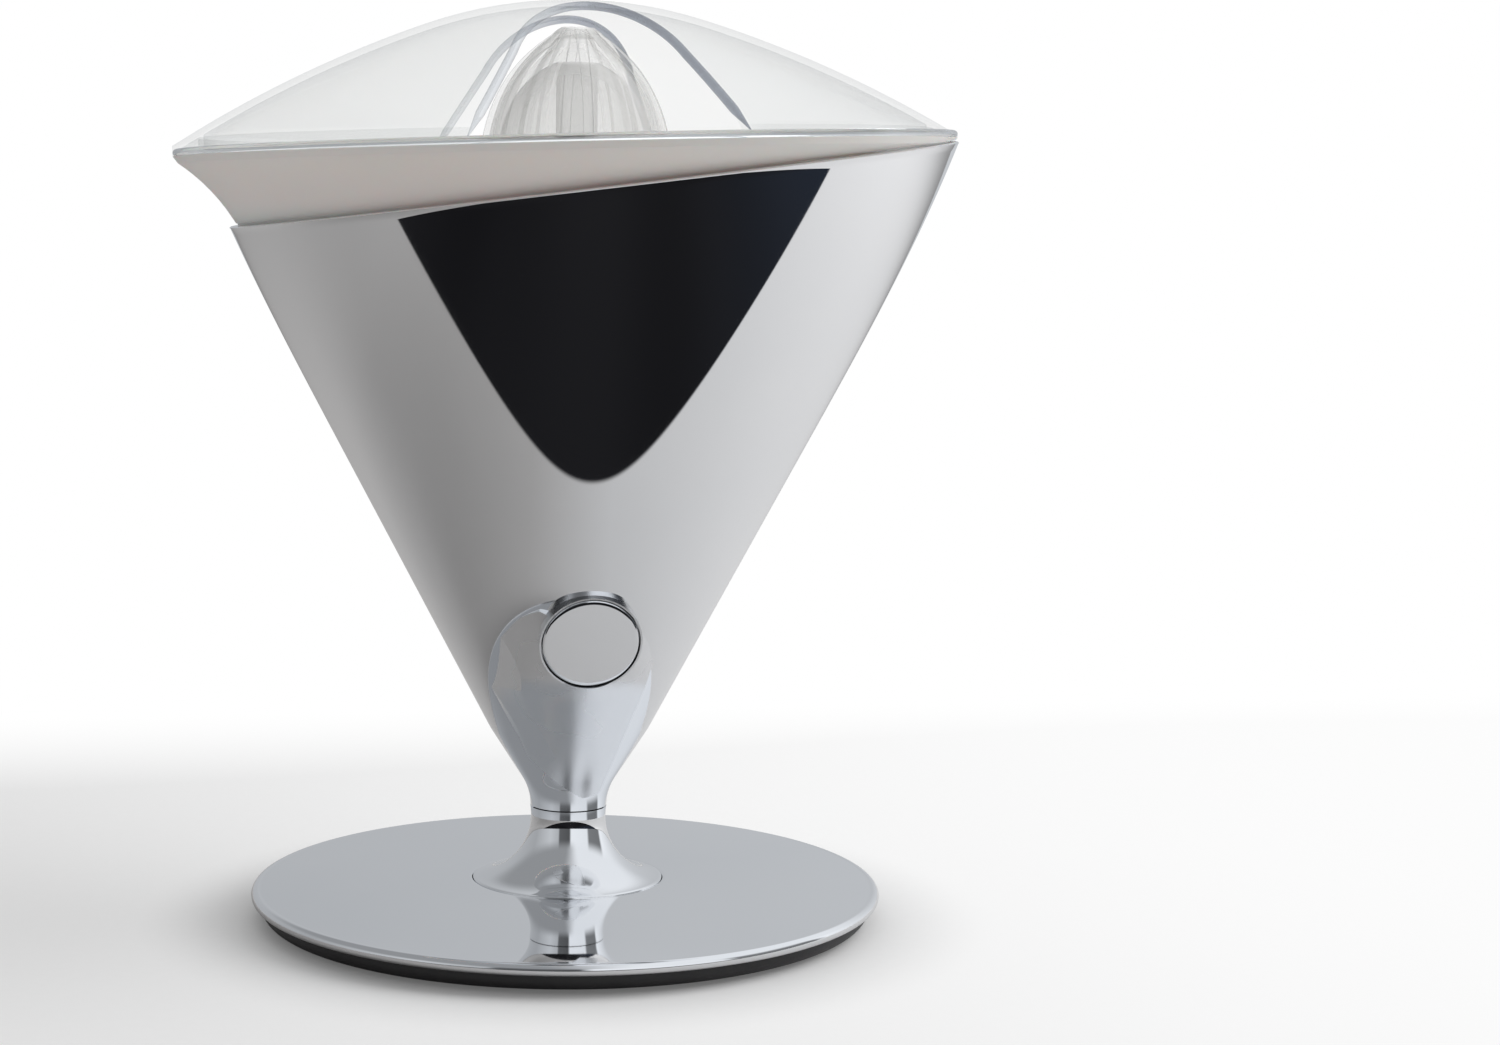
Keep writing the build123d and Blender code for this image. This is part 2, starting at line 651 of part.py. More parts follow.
def switch_bracket():
    arm = BUTTON_PLANE * Pos(0, 0, -14.35) * Box(20, 20, 1.6)
    arm -= button_hole(5, 10, 30)
    legs = [BUTTON_PLANE * Pos(side * 9.2, 0, -19.3) * Box(1.6, 9, 9) for side in (-1, 1)]
    return arm + legs


def circuit_board():
    return block(26, 1.6, PLATE_Z - 24, PLATE_Z - 0.05, y=24.5)


def terminal_block():
    low = PLATE_Z - 21
    body = block(18, 6, low, low + 9, y=28.4)
    return body - [block(3.4, 4, low + 2, low + 7, x=x, y=30.4) for x in (-6, 0, 6)]


PIECES = {
    "rubber_foot_ring": rubber_foot_ring,
    "under_base": under_base,
    "ballast_ring": ballast_ring,
    "base_screws": base_screws,
    "base_plate": base_plate,
    "pedestal_foot": pedestal_foot,
    "tie_rod": tie_rod,
    "tie_nuts": tie_nuts,
    "cord_grommet": cord_grommet,
    "cone_shell": cone_shell,
    "front_tongue": front_tongue,
    "power_button": power_button,
    "button_guide": button_guide,
    "button_spring": button_spring,
    "button_switch": button_switch,
    "switch_bracket": switch_bracket,
    "circuit_board": circuit_board,
    "terminal_block": terminal_block,
    "motor_can": motor_can,
    "motor_end_cap": motor_end_cap,
    "motor_bearing": motor_bearing,
    "motor_rotor": motor_rotor,
    "motor_screws": motor_screws,
    "gear_plate": gear_plate,
    "gear_posts": gear_posts,
    "compound_axle": compound_axle,
    "compound_gear": compound_gear,
    "output_gear": output_gear,
    "hub_bush": hub_bush,
    "gearbox_cover": gearbox_cover,
    "deck_screws": deck_screws,
    "start_switch": start_switch,
    "press_return_spring": press_return_spring,
    "drive_shaft": drive_shaft,
    "jug_seat": jug_seat,
    "lower_shaft_bush": lambda: shaft_bush(DECK_Z + 0.5, DECK_Z + 12),
    "upper_shaft_bush": lambda: shaft_bush(TOWER_TOP_Z - 12, TOWER_TOP_Z),
    "shaft_seal": shaft_seal,
    "juice_jug": juice_jug,
    "strainer": strainer,
    "reamer": reamer,
    "lid": lid,
}

os.makedirs("parts", exist_ok=True)
for name, make in PIECES.items():
    made = make()
    solids = made if isinstance(made, list) else made.solids()
    export_step(Compound(children=list(solids)), f"parts/{name}.step")
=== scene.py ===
import bmesh
import bpy
import json
import math
from mathutils import Matrix, Vector


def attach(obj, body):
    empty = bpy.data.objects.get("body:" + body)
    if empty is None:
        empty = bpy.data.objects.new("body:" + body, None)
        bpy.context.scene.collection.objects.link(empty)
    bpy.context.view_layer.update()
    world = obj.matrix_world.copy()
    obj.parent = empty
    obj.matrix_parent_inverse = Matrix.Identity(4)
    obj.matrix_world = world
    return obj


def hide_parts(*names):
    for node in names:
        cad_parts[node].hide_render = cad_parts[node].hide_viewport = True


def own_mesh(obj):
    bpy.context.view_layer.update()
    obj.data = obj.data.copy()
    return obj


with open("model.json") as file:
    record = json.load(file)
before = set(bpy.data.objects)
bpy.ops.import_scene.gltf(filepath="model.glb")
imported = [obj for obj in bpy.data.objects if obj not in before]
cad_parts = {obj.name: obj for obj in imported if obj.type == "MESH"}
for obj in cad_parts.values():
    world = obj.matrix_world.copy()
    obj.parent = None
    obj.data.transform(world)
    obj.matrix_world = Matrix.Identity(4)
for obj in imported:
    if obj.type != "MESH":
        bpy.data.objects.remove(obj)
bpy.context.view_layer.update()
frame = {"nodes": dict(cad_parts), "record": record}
nodes = frame["nodes"]
print("frame loaded:", len(nodes), "nodes")

# camera, fitted to the outline of plate, stem, rim and lid
shot = {
    "azimuth": -7.55, "distance": 0.9487, "height": 0.2453,
    "yaw": -3.70, "pitch": -6.46, "roll": 1.12,
    "focalPixels": 2773.0, "imageWidth": 1500, "sensor": 36.0, "clipStart": 0.01,
}


def makeCamera():
    data = bpy.data.cameras.new("shotCamera")
    data.sensor_width = shot["sensor"]
    data.lens = shot["focalPixels"] * shot["sensor"] / shot["imageWidth"]
    data.clip_start = shot["clipStart"]
    camera = bpy.data.objects.new("shotCamera", data)
    bpy.context.collection.objects.link(camera)
    turn = math.radians(shot["azimuth"])
    heading = turn + math.radians(shot["yaw"])
    place = Vector((math.sin(turn) * shot["distance"], -math.cos(turn) * shot["distance"], shot["height"]))
    aim = Matrix.Rotation(heading, 4, "Z") @ Matrix.Rotation(math.radians(90 + shot["pitch"]), 4, "X")
    roll = Matrix.Rotation(math.radians(shot["roll"]), 4, "Z")
    camera.matrix_world = Matrix.Translation(place) @ aim @ roll
    bpy.context.scene.camera = camera


makeCamera()
print("camera set")

# shader helpers; noise mostly stays inside noiseSpan
noiseSpan = (0.3, 0.7)
surfaceDetail = 4.0
bumpDetail = 2.0
edgeSharpness = 5.0


def newFinish(name):
    finish = bpy.data.materials.new(name)
    finish.use_nodes = True
    tree = finish.node_tree
    shader = tree.nodes["Principled BSDF"]
    return finish, tree, shader


def show(tree, shader, output="Material Output"):
    tree.links.new(shader, tree.nodes[output].inputs["Surface"])


def position(tree, kind="Object"):
    place = tree.nodes.new("ShaderNodeTexCoord")
    split = tree.nodes.new("ShaderNodeSeparateXYZ")
    tree.links.new(place.outputs[kind], split.inputs[0])
    return place.outputs[kind], split.outputs


def facing(tree):
    slant = tree.nodes.new("ShaderNodeLayerWeight")
    slant.inputs["Blend"].default_value = 0.5
    return slant.outputs["Facing"]


def grain(tree, scale, detail=3.0, stretch=(1, 1, 1)):
    place = tree.nodes.new("ShaderNodeTexCoord")
    mapping = tree.nodes.new("ShaderNodeMapping")
    mapping.inputs["Scale"].default_value = stretch
    noise = tree.nodes.new("ShaderNodeTexNoise")
    noise.inputs["Scale"].default_value = scale
    noise.inputs["Detail"].default_value = detail
    tree.links.new(place.outputs["Object"], mapping.inputs["Vector"])
    tree.links.new(mapping.outputs["Vector"], noise.inputs["Vector"])
    return noise.outputs["Fac"]


def spread(tree, source, low, high):
    ramp = tree.nodes.new("ShaderNodeMapRange")
    ramp.inputs["From Min"].default_value = noiseSpan[0]
    ramp.inputs["From Max"].default_value = noiseSpan[1]
    ramp.inputs["To Min"].default_value = low
    ramp.inputs["To Max"].default_value = high
    tree.links.new(source, ramp.inputs["Value"])
    return ramp.outputs["Result"]


def tint(tree, source, first, second):
    ramp = tree.nodes.new("ShaderNodeValToRGB")
    for stop, at, colour in zip(ramp.color_ramp.elements, noiseSpan, (first, second)):
        stop.position = at
        stop.color = (*colour, 1)
    tree.links.new(source, ramp.inputs["Fac"])
    return ramp.outputs["Color"]


def ripple(tree, shader, source, strength, distance):
    bump = tree.nodes.new("ShaderNodeBump")
    bump.inputs["Strength"].default_value = strength
    bump.inputs["Distance"].default_value = distance
    tree.links.new(source, bump.inputs["Height"])
    tree.links.new(bump.outputs["Normal"], shader.inputs["Normal"])


def mathNode(tree, operation, first, second):
    node = tree.nodes.new("ShaderNodeMath")
    node.operation = operation
    for socket, value in zip(node.inputs, (first, second)):
        if isinstance(value, (int, float)):
            socket.default_value = value
        else:
            tree.links.new(value, socket)
    return node.outputs[0]


def vectorNode(tree, operation, source):
    node = tree.nodes.new("ShaderNodeVectorMath")
    node.operation = operation
    tree.links.new(source, node.inputs[0])
    return node


def ramped(tree, value, fromMin, fromMax, toMin=0.0, toMax=1.0):
    node = tree.nodes.new("ShaderNodeMapRange")
    node.interpolation_type = "SMOOTHSTEP"
    node.inputs["From Min"].default_value = fromMin
    node.inputs["From Max"].default_value = fromMax
    node.inputs["To Min"].default_value = toMin
    node.inputs["To Max"].default_value = toMax
    tree.links.new(value, node.inputs["Value"])
    return node.outputs["Result"]


def mixed(tree, share, first, second):
    node = tree.nodes.new("ShaderNodeMixShader")
    tree.links.new(share, node.inputs["Fac"])
    tree.links.new(first, node.inputs[1])
    tree.links.new(second, node.inputs[2])
    return node.outputs[0]


# a mix node has its colour sockets at 6 and 7, and its colour result at 2
def blended(tree, share, first, second):
    node = tree.nodes.new("ShaderNodeMix")
    node.data_type = "RGBA"
    tree.links.new(share, node.inputs["Factor"])
    for socket, value in ((node.inputs[6], first), (node.inputs[7], second)):
        if isinstance(value, tuple):
            socket.default_value = (*value, 1)
        else:
            tree.links.new(value, socket)
    return node.outputs[2]


def surface(name, spec):
    finish, tree, shader = newFinish(name)
    stretch = spec.get("stretch", (1, 1, 1))
    cloud = grain(tree, spec["grainScale"], surfaceDetail, stretch)
    tree.links.new(tint(tree, cloud, *spec["colour"]), shader.inputs["Base Color"])
    tree.links.new(spread(tree, cloud, *spec["roughness"]), shader.inputs["Roughness"])
    for socket, value in spec.get("set", {}).items():
        shader.inputs[socket].default_value = value
    if "bump" in spec:
        scale, strength, distance = spec["bump"]
        ripple(tree, shader, grain(tree, scale, bumpDetail, stretch), strength, distance)
    return finish


def clearSurface(name, spec):
    finish, tree, shader = newFinish(name)
    tree.nodes.remove(shader)
    cloud = grain(tree, spec["grainScale"])
    through = tree.nodes.new("ShaderNodeBsdfTransparent")
    colour = tint(tree, cloud, *spec["colour"])
    # toward +X the edge's tint turns darker: a painted dark reflection on that side of the edge
    if "deeper" in spec:
        split = position(tree)[1]
        colour = blended(tree, ramped(tree, split["X"], *spec["across"]), colour, spec["deeper"])
    tree.links.new(colour, through.inputs["Color"])
    shine = tree.nodes.new("ShaderNodeBsdfGlossy")
    tree.links.new(spread(tree, cloud, *spec["roughness"]), shine.inputs["Roughness"])
    steep = mathNode(tree, "POWER", facing(tree), edgeSharpness)
    share = mathNode(tree, "ADD", mathNode(tree, "MULTIPLY", steep, spec["edgeShine"]), spec["faceShine"])
    show(tree, mixed(tree, share, through.outputs[0], shine.outputs[0]))
    return finish


def frostedSurface(name, spec):
    finish = surface(name, spec)
    tree = finish.node_tree
    through = tree.nodes.new("ShaderNodeBsdfTransparent")
    cloud = grain(tree, spec["grainScale"])
    tree.links.new(tint(tree, cloud, *spec["through"]), through.inputs["Color"])
    share = ramped(tree, facing(tree), 0.0, 1.0, *spec["body"])
    show(tree, mixed(tree, share, through.outputs[0], tree.nodes["Principled BSDF"].outputs[0]))
    return finish


# bump holds grain scale, strength and distance
chromeTones = ((0.86, 0.87, 0.885), (0.9, 0.905, 0.915))
finishes = {
    "chrome_plate": {"colour": chromeTones, "roughness": (0.012, 0.05), "grainScale": 9,
                     "set": {"Metallic": 1.0}},
    "soft_chrome": {"colour": chromeTones, "roughness": (0.26, 0.32), "grainScale": 9,
                    "set": {"Metallic": 1.0}},
    "black_plastic": {"colour": ((0.012, 0.012, 0.013), (0.022, 0.021, 0.022)), "roughness": (0.38, 0.5),
                      "grainScale": 60, "bump": (900, 0.12, 0.0004)},
    "feet_rubber": {"colour": ((0.018, 0.018, 0.018), (0.03, 0.03, 0.03)), "roughness": (0.7, 0.85),
                    "grainScale": 90, "bump": (700, 0.2, 0.0004)},
    "steel": {"colour": ((0.5, 0.5, 0.51), (0.62, 0.62, 0.63)), "roughness": (0.25, 0.4), "grainScale": 40,
              "stretch": (1, 1, 12), "set": {"Metallic": 1.0}, "bump": (300, 0.08, 0.0003)},
    "brass_bush": {"colour": ((0.55, 0.38, 0.16), (0.68, 0.5, 0.24)), "roughness": (0.3, 0.45),
                   "grainScale": 60, "set": {"Metallic": 1.0}},
    "white_plastic": {"colour": ((0.80, 0.785, 0.75), (0.83, 0.815, 0.785)), "roughness": (0.28, 0.4),
                      "grainScale": 14, "bump": (500, 0.04, 0.0003),
                      "set": {"Subsurface Weight": 0.15, "Subsurface Scale": 0.004, "IOR": 1.49}},
    "board": {"colour": ((0.02, 0.12, 0.04), (0.03, 0.17, 0.06)), "roughness": (0.35, 0.5),
              "grainScale": 120},
    "rotor_iron": {"colour": ((0.12, 0.11, 0.1), (0.2, 0.19, 0.18)), "roughness": (0.4, 0.6),
                   "grainScale": 80, "stretch": (1, 1, 20), "set": {"Metallic": 0.8}},
    "clear_plastic": {"colour": ((0.976, 0.979, 0.978), (0.985, 0.987, 0.986)), "roughness": (0.0, 0.03),
                      "grainScale": 12, "faceShine": 0.04, "edgeShine": 0.14},
    # the arch edge is painted darker toward +X, a painted reflection
    "arch_edge": {"colour": ((0.88, 0.89, 0.91), (0.93, 0.94, 0.95)), "roughness": (0.01, 0.04),
                  "grainScale": 30, "faceShine": 0.1, "edgeShine": 0.5,
                  "across": (-0.03, 0.012), "deeper": (0.63, 0.65, 0.69)},
    "rim_edge": {"colour": ((0.95, 0.955, 0.96), (0.97, 0.975, 0.98)), "roughness": (0.01, 0.04),
                 "grainScale": 30, "set": {"Transmission Weight": 1.0, "IOR": 1.49}},
    # a lighter copy of the steel, for the drive shaft alone so that it reads lighter through the reamer:
    # painted light
    "bright_steel": {"colour": ((0.78, 0.78, 0.78), (0.85, 0.85, 0.85)), "roughness": (0.2, 0.3),
                     "grainScale": 40, "stretch": (1, 1, 12), "set": {"Metallic": 1.0}},
    "frosted_plastic": {"colour": ((0.94, 0.937, 0.925), (0.96, 0.957, 0.95)), "roughness": (0.14, 0.22),
                        "grainScale": 18, "through": ((0.99, 0.99, 0.987), (1, 1, 1)), "body": (0.13, 0.52)},
}
ownFinish = {"drive_shaft": "bright_steel", "front_tongue": "soft_chrome"}

made = {}
for name, spec in finishes.items():
    make = clearSurface if "faceShine" in spec else frostedSurface if "through" in spec else surface
    made[name] = make(name, spec)
for part in frame["record"]["subparts"]:
    piece = nodes[part["node"]]
    piece.data.materials.clear()
    piece.data.materials.append(made[ownFinish.get(part["node"], part["material_slot"])])
print("finishes on the parts:", len(made))

# mesh helpers, profiles in millimetres
milli = 0.001
weldDistance = 1e-7
sharpAngle = 40


# centre and radius of the arc that leaves start in the direction along and reaches end
def arcThrough(start, along, end):
    size = math.hypot(*along)
    normal = (-along[1] / size, along[0] / size)
    chord = (end[0] - start[0], end[1] - start[1])
    reach = (chord[0] ** 2 + chord[1] ** 2) / (2 * (normal[0] * chord[0] + normal[1] * chord[1]))
    return start[0] + normal[0] * reach, start[1] + normal[1] * reach, abs(reach)


def skin(name, rows, segments, pointAt, closed=True, place=None):
    spots = []
    for row in range(rows):
        for step in range(segments):
            x, y, z = pointAt(row, 2 * math.pi * step / segments)
            spots.append((x * milli, y * milli, z * milli))
    faces = []
    for row in range(rows if closed else rows - 1):
        here = row * segments
        there = (row + 1) % rows * segments
        for step in range(segments):
            after = (step + 1) % segments
            faces.append((here + step, here + after, there + after, there + step))
    mesh = bpy.data.meshes.new(name)
    mesh.from_pydata(spots, [], faces)
    if place is not None:
        mesh.transform(place)
    mesh.validate()
    shape = bmesh.new()
    shape.from_mesh(mesh)
    bmesh.ops.remove_doubles(shape, verts=shape.verts, dist=weldDistance)
    bmesh.ops.recalc_face_normals(shape, faces=shape.faces)
    shape.to_mesh(mesh)
    shape.free()
    mesh.shade_smooth()
    mesh.set_sharp_from_angle(angle=math.radians(sharpAngle))
    piece = bpy.data.objects.new(name, mesh)
    bpy.context.collection.objects.link(piece)
    return piece


def turnedPiece(name, profile, segments=192, place=None, closed=True):
    def pointAt(row, angle):
        radius, height = profile[row]
        return radius * math.cos(angle), radius * math.sin(angle), height

    return skin(name, len(profile), segments, pointAt, closed, place)


def arcPoints(start, middle, end, count):
    ax, ay = start
    bx, by = middle
    cx, cy = end
    d = 2 * (ax * (by - cy) + bx * (cy - ay) + cx * (ay - by))
    ux = ((ax**2 + ay**2) * (by - cy) + (bx**2 + by**2) * (cy - ay) + (cx**2 + cy**2) * (ay - by)) / d
    uy = ((ax**2 + ay**2) * (cx - bx) + (bx**2 + by**2) * (ax - cx) + (cx**2 + cy**2) * (bx - ax)) / d
    radius = math.hypot(ax - ux, ay - uy)
    first = math.atan2(ay - uy, ax - ux)
    halfway = math.atan2(by - uy, bx - ux)
    last = math.atan2(cy - uy, cx - ux)
    turn = 2 * math.pi
    sweep = (last - first) % turn
    if (halfway - first) % turn > sweep:
        sweep -= turn
    angles = [first + sweep * step / count for step in range(count + 1)]
    return [(ux + radius * math.cos(angle), uy + radius * math.sin(angle)) for angle in angles]


def cutAway(piece, tool):
    cut = piece.modifiers.new("cut", "BOOLEAN")
    cut.operation = "DIFFERENCE"
    cut.solver = "EXACT"
    cut.object = tool
    bpy.context.view_layer.objects.active = piece
    bpy.ops.object.modifier_apply(modifier=cut.name)
    bpy.data.objects.remove(tool)


def dress(piece, body, node, slot):
    piece.data.materials.append(made[slot])
    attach(piece, body)
    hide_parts(node)


# mirror cone with its slanted rim
cone = {
    "slope": 0.5285, "apex": 14.2, "wall": 2.2, "wallSlant": 1.13, "innerTaper": 0.9,
    "seam": (13.1, 38.6), "waist": (16.2, 48.6), "straightFrom": 66.0, "bendFrom": 165.0,
    "top": (130.6, 273.0), "rimHeight": 252.0, "rimTilt": 7.8, "rimRound": 0.9, "rimTries": 12,
    "floor": 64.0, "bore": 5.05, "outerRows": 110, "rimRows": 5, "innerRows": 30, "segments": 384,
}


def coneRadius(z):
    straight = cone["slope"] * (z - cone["apex"])
    low = (cone["slope"] * (cone["straightFrom"] - cone["apex"]), cone["straightFrom"])
    waist = cone["waist"]
    if z > cone["bendFrom"]:
        share = (z - cone["bendFrom"]) / (cone["top"][1] - cone["bendFrom"])
        return straight - (cone["slope"] * (cone["top"][1] - cone["apex"]) - cone["top"][0]) * share**3
    if z >= low[1]:
        return straight
    if z >= waist[1]:
        return waist[0] + (low[0] - waist[0]) * (z - waist[1]) / (low[1] - waist[1])
    cx, cz, radius = arcThrough(waist, (waist[0] - low[0], waist[1] - low[1]), cone["seam"])
    return cx - math.sqrt(max(0.0, radius**2 - (z - cz) ** 2))


def coneRim(angle):
    climb = math.tan(math.radians(cone["rimTilt"])) * math.cos(angle)
    z = cone["rimHeight"]
    for _ in range(cone["rimTries"]):
        z = cone["rimHeight"] + climb * coneRadius(z)
    return z


def makeCone():
    outer = cone["outerRows"]
    rim = outer + cone["rimRows"]
    inner = rim + cone["innerRows"]
    bend = cone["rimRound"]
    wall = cone["wall"] * cone["wallSlant"]
    seam = cone["seam"][1]
    rims = {}

    def pointAt(row, angle):
        key = round(angle, 6)
        if key not in rims:
            rims[key] = coneRim(angle)
        top = rims[key]
        if row < outer:
            share = row / (outer - 1)
            z = seam + (top - bend - seam) * share
            radius = coneRadius(z)
        elif row < rim:
            turn = math.pi * (row - outer + 0.5) / cone["rimRows"]
            z = top - bend + bend * math.sin(turn)
            radius = coneRadius(top) - wall / 2 + wall / 2 * math.cos(turn)
        elif row < inner:
            share = (row - rim) / (cone["innerRows"] - 1)
            z = top - bend + (cone["floor"] - top + bend) * share
            radius = coneRadius(z) - wall - cone["innerTaper"] * share
        else:
            z = cone["floor"] if row == inner else seam
            radius = cone["bore"]
        return radius * math.cos(angle), radius * math.sin(angle), z

    return skin("mirrorCone", inner + 2, cone["segments"], pointAt)


# base plate with its rolled edge
plate = {
    "radius": 108.5, "low": 7.5, "edgeTop": 11.0, "crown": 13.2, "crownDrop": 0.5,
    "footSeat": 32.95, "seatFloor": 10.0, "seatClear": 0.6, "lipRun": 0.15, "lipDrops": (0.35, 0.08),
    "edgeIn": 2.6, "underIn": 3.4, "edgeRise": 1.8, "recess": (101, 40), "recessDepth": 1.8, "bore": 9,
    "topSteps": 160, "edgeSteps": 24, "segments": 320,
}


def makePlate():
    edge = plate["radius"]
    low = plate["low"]
    seat = plate["footSeat"]
    shoulder = (edge - plate["edgeIn"], plate["edgeTop"])
    halfway = (edge / 2, plate["crown"] - plate["crownDrop"])
    top = arcPoints((0, plate["crown"]), halfway, shoulder, plate["topSteps"])
    top = [spot for spot in top if spot[0] > seat + plate["seatClear"]]
    height = top[0][1]
    deep, shallow = plate["lipDrops"]
    lip = [(seat, height - deep), (seat + plate["lipRun"], height - shallow)]
    bulge = (edge, low + plate["edgeRise"])
    side = arcPoints(shoulder, bulge, (edge - plate["underIn"], low), plate["edgeSteps"])
    wide, narrow = plate["recess"]
    roof = low + plate["recessDepth"]
    under = [(wide, low), (wide, roof), (narrow, roof), (narrow, low)]
    inner = [(plate["bore"], low), (plate["bore"], plate["seatFloor"]), (seat, plate["seatFloor"])]
    return turnedPiece("rolledPlate", lip + top + side[1:] + under + inner, plate["segments"])


# black skirt round the under-base, open at the cord's inlet
baseSkirt = {
    "top": (105.3, 7.4), "corner": ((105.2, 5.2), (104.1, 2.6), (101.0, 1.6)), "cornerSteps": 10,
    "inner": [(100.2, 2.2), (103.2, 6.4), (103.6, 7.4)], "segments": 256,
    "inletAt": (0, 98, 4.6), "inletSize": (9.4, 20, 4.2),
}


def makeSkirt():
    corner = arcPoints(*baseSkirt["corner"], baseSkirt["cornerSteps"])
    outline = [baseSkirt["top"]] + corner + baseSkirt["inner"]
    skirt = turnedPiece("baseSkirt", outline, baseSkirt["segments"])
    bpy.ops.mesh.primitive_cube_add(size=milli)
    inlet = bpy.context.active_object
    place = Matrix.Translation(Vector(baseSkirt["inletAt"]) * milli)
    inlet.matrix_world = place @ Matrix.Diagonal((*baseSkirt["inletSize"], 1))
    cutAway(skirt, inlet)
    return skirt


# trumpet foot let into the plate; edge holds how far in and down its rounded lip goes
foot = {
    "radius": 32.8, "floor": 10.1, "lip": 13.4, "middle": (18.0, 21.0), "top": (13.2, 38.2), "bore": 6.2,
    "edge": ((0, 0.5), (0.04, 0.2)), "edgeClear": 0.4, "steps": 90,
}


def makeFoot():
    wide = foot["radius"]
    edge = [(wide - inward, foot["lip"] - down) for inward, down in foot["edge"]]
    flank = arcPoints((wide, foot["lip"]), foot["middle"], foot["top"], foot["steps"])
    flank = [spot for spot in flank if spot[0] < wide - foot["edgeClear"]]
    close = [(foot["bore"], foot["top"][1]), (foot["bore"], foot["floor"]), (wide, foot["floor"])]
    return turnedPiece("trumpetFoot", edge + flank + close)


# push button on its stem, and the hole for it in the cone
button = {
    "radius": 16.0, "deep": 3.2, "round": 0.7, "crown": 0.03, "stem": 3.9, "stemEnd": 15.5,
    "at": (0, -51.6, 102.8), "tilt": 20.5, "hole": 16.4, "holeDeep": 13.6, "holeAhead": 1.2,
    "faceSteps": 20, "roundSteps": 6, "segments": 128,
}


def buttonOutward():
    tilt = math.radians(button["tilt"])
    return Vector((0, -math.cos(tilt), -math.sin(tilt)))


def makeButton():
    outward = buttonOutward()
    across = Vector((1, 0, 0))
    basis = Matrix((across, outward.cross(across), outward)).transposed().to_4x4()
    place = Matrix.Translation(Vector(button["at"]) * milli) @ basis
    radius = button["radius"]
    bend = button["round"]
    crown = button["crown"]
    face = []
    for step in range(button["faceSteps"] + 1):
        out = (radius - bend) * step / button["faceSteps"]
        face.append((out, -crown * (out / radius) ** 2))
    rim = []
    for step in range(1, button["roundSteps"] + 1):
        turn = math.pi / 2 * step / button["roundSteps"]
        rim.append((radius - bend + bend * math.sin(turn), -crown - bend + bend * math.cos(turn)))
    back = [(radius, -button["deep"]), (button["stem"], -button["deep"]),
            (button["stem"], -button["stemEnd"]), (0, -button["stemEnd"])]
    return turnedPiece("pressDisc", face + rim + back, button["segments"], place, False)


def boreCone(piece):
    outward = buttonOutward()
    wide = button["hole"] * milli
    deep = button["holeDeep"] * milli
    bpy.ops.mesh.primitive_cylinder_add(vertices=button["segments"], radius=wide, depth=deep)
    drill = bpy.context.active_object
    middle = (Vector(button["at"]) + outward * button["holeAhead"]) * milli
    drill.matrix_world = Matrix.Translation(middle) @ outward.to_track_quat("Z", "Y").to_matrix().to_4x4()
    cutAway(piece, drill)


# rounded clear edges of the lid: the arch of each finger niche and the rim
lidEdge = {
    "turn": -2.4, "offset": -2.7, "rim": 264.5, "rimRadius": 131.3, "rimTilt": 2.6, "lean": 2.0, "top": 313.6,
    "crownRadius": 150.0, "crownAngle": 18.5, "flankRadius": 400.0, "nicheTop": 309.6,
    "shoulder": (26.68, 292.46), "low": (58.0, 239.5), "legFoot": 43.0, "legClear": 2.2,
    "bead": 1.4, "rimBead": 1.2, "taper": 7, "sides": 14, "nearlyUp": (0.02, 0.03, 1),
    "search": (2.0, 140.0), "searchSteps": 40, "legSteps": 24, "bowSteps": 40, "rimSteps": 240,
}


def domeHeight(radius):
    angle = math.radians(lidEdge["crownAngle"])
    crown = lidEdge["crownRadius"]
    knee = crown * math.sin(angle)
    if radius < knee:
        return lidEdge["top"] - crown + math.sqrt(crown**2 - radius**2)
    sine = math.sin(angle) + (radius - knee) / lidEdge["flankRadius"]
    drop = lidEdge["flankRadius"] * (math.cos(angle) - math.sqrt(1 - sine**2))
    return lidEdge["top"] - crown * (1 - math.cos(angle)) - drop


# halves the search until the spot at this x and z lies on the leaning dome
def onDome(x, z, side):
    turn = math.radians(lidEdge["turn"])
    lean = math.radians(lidEdge["lean"])
    near, far = lidEdge["search"]
    for _ in range(lidEdge["searchSteps"]):
        y = side * (near + far) / 2
        spot = (x * math.cos(turn) - y * math.sin(turn), x * math.sin(turn) + y * math.cos(turn), z)
        across = spot[0] - lidEdge["offset"]
        up = spot[2] - lidEdge["rim"]
        radius = math.hypot(across * math.cos(lean) + up * math.sin(lean), spot[1])
        height = -across * math.sin(lean) + up * math.cos(lean) + lidEdge["rim"]
        if height < domeHeight(radius):
            near = abs(y)
        else:
            far = abs(y)
    return Vector(spot)


def archLeg(hand):
    wide, high = lidEdge["shoulder"]
    lowX, lowZ = lidEdge["low"]
    lift = hand * lidEdge["legFoot"] * math.sin(math.radians(lidEdge["rimTilt"]))
    base = lidEdge["rim"] + lift + lidEdge["legClear"]
    leg = []
    for step in range(lidEdge["legSteps"]):
        z = base + (high - base) * step / lidEdge["legSteps"]
        leg.append((hand * (wide + (lowX - wide) * (high - z) / (high - lowZ)), z))
    return leg


def archPath(side):
    wide, high = lidEdge["shoulder"]
    sag = lidEdge["nicheTop"] - high
    radius = (wide**2 + sag**2) / (2 * sag)
    middle = lidEdge["nicheTop"] - radius
    start = math.atan2(high - middle, wide)
    bow = []
    for step in range(lidEdge["bowSteps"] + 1):
        angle = start + (math.pi - 2 * start) * step / lidEdge["bowSteps"]
        bow.append((radius * math.cos(angle), middle + radius * math.sin(angle)))
    return [onDome(x, z, side) for x, z in archLeg(1) + bow + archLeg(-1)[::-1]]


def rimPath():
    tilt = math.radians(lidEdge["rimTilt"])
    out = lidEdge["rimRadius"] - lidEdge["rimBead"]
    path = []
    for step in range(lidEdge["rimSteps"]):
        angle = 2 * math.pi * step / lidEdge["rimSteps"]
        x = out * math.cos(angle)
        path.append(Vector((lidEdge["offset"] + x * math.cos(tilt), out * math.sin(angle),
                            lidEdge["rim"] + lidEdge["rimBead"] + x * math.sin(tilt))))
    return path


